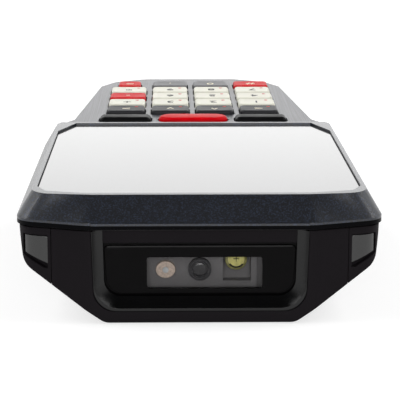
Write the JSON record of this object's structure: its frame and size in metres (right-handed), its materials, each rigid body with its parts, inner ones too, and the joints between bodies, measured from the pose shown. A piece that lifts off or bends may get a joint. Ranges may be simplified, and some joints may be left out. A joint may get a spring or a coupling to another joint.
{
  "type": "portable barcode data terminal",
  "caption": "Handheld barcode data terminal with a scan window at its head, a large display, a keypad with centre scan key, a side trigger and a hinged battery door.",
  "frame": {"origin": "middle of the back, on the surface that the terminal lies on", "axes": "+X across to the right seen from the head, +Y from the scanning head to the tail, +Z from the back to the display"},
  "size_m": [0.0754, 0.175, 0.0268],
  "materials": {
    "cover_paint": "satin",
    "display_glass": "polished",
    "black_rubber": "matte",
    "display_back": "satin",
    "silicone": "matte",
    "board_green": "satin",
    "soft_black": "soft-touch matte",
    "gloss_black": "gloss",
    "window_tint": "gloss",
    "dark_rubber": "matte",
    "red_plastic": "satin",
    "dark_plastic": "matte",
    "magnesium": "cast",
    "tin_plate": "satin",
    "lens_ring": "gloss",
    "aimer_bronze": "gloss",
    "led_yellow": "gloss",
    "pack_black": "satin",
    "steel": "polished",
    "screw_black": "black oxide",
    "ivory_key": "satin",
    "dark_key": "satin",
    "grey_key": "satin"
  },
  "bodies": {
    "case": {"front_cover": "cover_paint", "display_glass": "display_glass", "display_gasket": "black_rubber", "lcd_module": "display_back", "keypad_membrane": "silicone", "keypad_board": "board_green", "nose_cap": "soft_black", "window_frame": "gloss_black", "scan_window": "window_tint", "rear_housing": "soft_black", "left_latch_panel": "gloss_black", "right_latch_panel": "gloss_black", "side_key_guard": "dark_rubber", "trigger_switch": "dark_plastic", "mid_frame": "magnesium", "main_board": "board_green", "shield_can": "tin_plate", "coin_cell": "tin_plate", "vibration_motor": "tin_plate", "speaker": "dark_plastic", "antenna": "dark_plastic", "scan_engine": "dark_plastic", "camera_lens": "lens_ring", "aimer_lens": "aimer_bronze", "illumination_led": "led_yellow", "engine_bracket": "magnesium", "battery_pack": "pack_black", "battery_contacts": "dark_plastic", "door_pin": "steel", "port_pin": "steel", "dock_connector": "dark_plastic", "case_screws": "screw_black", "case_seal": "black_rubber"},
    "trigger": {"scan_trigger": "red_plastic"},
    "door": {"battery_door": "soft_black"},
    "latch": {"battery_latch": "dark_plastic"},
    "port_flap": {"port_cover": "dark_rubber"},
    "scan_key": {"scan_key": "red_plastic"},
    "left_function_key": {"left_function_key": "gloss_black"},
    "right_function_key": {"right_function_key": "gloss_black"},
    "key_row_1_column_1": {"key_row_1_column_1": "dark_key"},
    "key_row_1_column_2": {"key_row_1_column_2": "dark_key"},
    "key_row_1_column_3": {"key_row_1_column_3": "dark_key"},
    "key_row_1_column_4": {"key_row_1_column_4": "dark_key"},
    "key_row_2_column_1": {"key_row_2_column_1": "ivory_key"},
    "key_row_2_column_2": {"key_row_2_column_2": "ivory_key"},
    "key_row_2_column_3": {"key_row_2_column_3": "ivory_key"},
    "key_row_2_column_4": {"key_row_2_column_4": "ivory_key"},
    "key_row_3_column_1": {"key_row_3_column_1": "red_plastic"},
    "key_row_3_column_2": {"key_row_3_column_2": "ivory_key"},
    "key_row_3_column_3": {"key_row_3_column_3": "ivory_key"},
    "key_row_3_column_4": {"key_row_3_column_4": "ivory_key"},
    "key_row_4_column_1": {"key_row_4_column_1": "ivory_key"},
    "key_row_4_column_2": {"key_row_4_column_2": "ivory_key"},
    "key_row_4_column_3": {"key_row_4_column_3": "ivory_key"},
    "key_row_4_column_4": {"key_row_4_column_4": "ivory_key"},
    "key_row_5_column_1": {"key_row_5_column_1": "red_plastic"},
    "key_row_5_column_2": {"key_row_5_column_2": "grey_key"},
    "key_row_5_column_3": {"key_row_5_column_3": "grey_key"},
    "key_row_5_column_4": {"key_row_5_column_4": "red_plastic"}
  },
  "joints": [
    {"name": "scan_key_press", "type": "slide", "parent": "case", "child": "scan_key", "axis": [0, 0, -1], "range_m": [0, 0.0005], "stiffness_N_per_m": 1500},
    {"name": "left_function_key_press", "type": "slide", "parent": "case", "child": "left_function_key", "axis": [0, 0, -1], "range_m": [0, 0.0005], "stiffness_N_per_m": 1500},
    {"name": "right_function_key_press", "type": "slide", "parent": "case", "child": "right_function_key", "axis": [0, 0, -1], "range_m": [0, 0.0005], "stiffness_N_per_m": 1500},
    {"name": "key_row_1_column_1_press", "type": "slide", "parent": "case", "child": "key_row_1_column_1", "axis": [0, 0, -1], "range_m": [0, 0.0005], "stiffness_N_per_m": 1500},
    {"name": "key_row_1_column_2_press", "type": "slide", "parent": "case", "child": "key_row_1_column_2", "axis": [0, 0, -1], "range_m": [0, 0.0005], "stiffness_N_per_m": 1500},
    {"name": "key_row_1_column_3_press", "type": "slide", "parent": "case", "child": "key_row_1_column_3", "axis": [0, 0, -1], "range_m": [0, 0.0005], "stiffness_N_per_m": 1500},
    {"name": "key_row_1_column_4_press", "type": "slide", "parent": "case", "child": "key_row_1_column_4", "axis": [0, 0, -1], "range_m": [0, 0.0005], "stiffness_N_per_m": 1500},
    {"name": "key_row_2_column_1_press", "type": "slide", "parent": "case", "child": "key_row_2_column_1", "axis": [0, 0, -1], "range_m": [0, 0.0005], "stiffness_N_per_m": 1500},
    {"name": "key_row_2_column_2_press", "type": "slide", "parent": "case", "child": "key_row_2_column_2", "axis": [0, 0, -1], "range_m": [0, 0.0005], "stiffness_N_per_m": 1500},
    {"name": "key_row_2_column_3_press", "type": "slide", "parent": "case", "child": "key_row_2_column_3", "axis": [0, 0, -1], "range_m": [0, 0.0005], "stiffness_N_per_m": 1500},
    {"name": "key_row_2_column_4_press", "type": "slide", "parent": "case", "child": "key_row_2_column_4", "axis": [0, 0, -1], "range_m": [0, 0.0005], "stiffness_N_per_m": 1500},
    {"name": "key_row_3_column_1_press", "type": "slide", "parent": "case", "child": "key_row_3_column_1", "axis": [0, 0, -1], "range_m": [0, 0.0005], "stiffness_N_per_m": 1500},
    {"name": "key_row_3_column_2_press", "type": "slide", "parent": "case", "child": "key_row_3_column_2", "axis": [0, 0, -1], "range_m": [0, 0.0005], "stiffness_N_per_m": 1500},
    {"name": "key_row_3_column_3_press", "type": "slide", "parent": "case", "child": "key_row_3_column_3", "axis": [0, 0, -1], "range_m": [0, 0.0005], "stiffness_N_per_m": 1500},
    {"name": "key_row_3_column_4_press", "type": "slide", "parent": "case", "child": "key_row_3_column_4", "axis": [0, 0, -1], "range_m": [0, 0.0005], "stiffness_N_per_m": 1500},
    {"name": "key_row_4_column_1_press", "type": "slide", "parent": "case", "child": "key_row_4_column_1", "axis": [0, 0, -1], "range_m": [0, 0.0005], "stiffness_N_per_m": 1500},
    {"name": "key_row_4_column_2_press", "type": "slide", "parent": "case", "child": "key_row_4_column_2", "axis": [0, 0, -1], "range_m": [0, 0.0005], "stiffness_N_per_m": 1500},
    {"name": "key_row_4_column_3_press", "type": "slide", "parent": "case", "child": "key_row_4_column_3", "axis": [0, 0, -1], "range_m": [0, 0.0005], "stiffness_N_per_m": 1500},
    {"name": "key_row_4_column_4_press", "type": "slide", "parent": "case", "child": "key_row_4_column_4", "axis": [0, 0, -1], "range_m": [0, 0.0005], "stiffness_N_per_m": 1500},
    {"name": "key_row_5_column_1_press", "type": "slide", "parent": "case", "child": "key_row_5_column_1", "axis": [0, 0, -1], "range_m": [0, 0.0005], "stiffness_N_per_m": 1500},
    {"name": "key_row_5_column_2_press", "type": "slide", "parent": "case", "child": "key_row_5_column_2", "axis": [0, 0, -1], "range_m": [0, 0.0005], "stiffness_N_per_m": 1500},
    {"name": "key_row_5_column_3_press", "type": "slide", "parent": "case", "child": "key_row_5_column_3", "axis": [0, 0, -1], "range_m": [0, 0.0005], "stiffness_N_per_m": 1500},
    {"name": "key_row_5_column_4_press", "type": "slide", "parent": "case", "child": "key_row_5_column_4", "axis": [0, 0, -1], "range_m": [0, 0.0005], "stiffness_N_per_m": 1500},
    {"name": "trigger_press", "type": "slide", "parent": "case", "child": "trigger", "axis": [1, 0, 0], "range_m": [0, 0.0006], "stiffness_N_per_m": 2000},
    {"name": "battery_door_hinge", "type": "hinge", "parent": "case", "child": "door", "pos_m": [0, 0.0563, 0.0015], "axis": [1, 0, 0], "range_deg": [0, 70]},
    {"name": "battery_latch_slide", "type": "slide", "parent": "case", "child": "latch", "axis": [0, -1, 0], "range_m": [0, 0.0025]},
    {"name": "port_cover_hinge", "type": "hinge", "parent": "case", "child": "port_flap", "pos_m": [0, 0.08605, 0.011], "axis": [-1, 0, 0], "range_deg": [0, 90]}
  ]
}
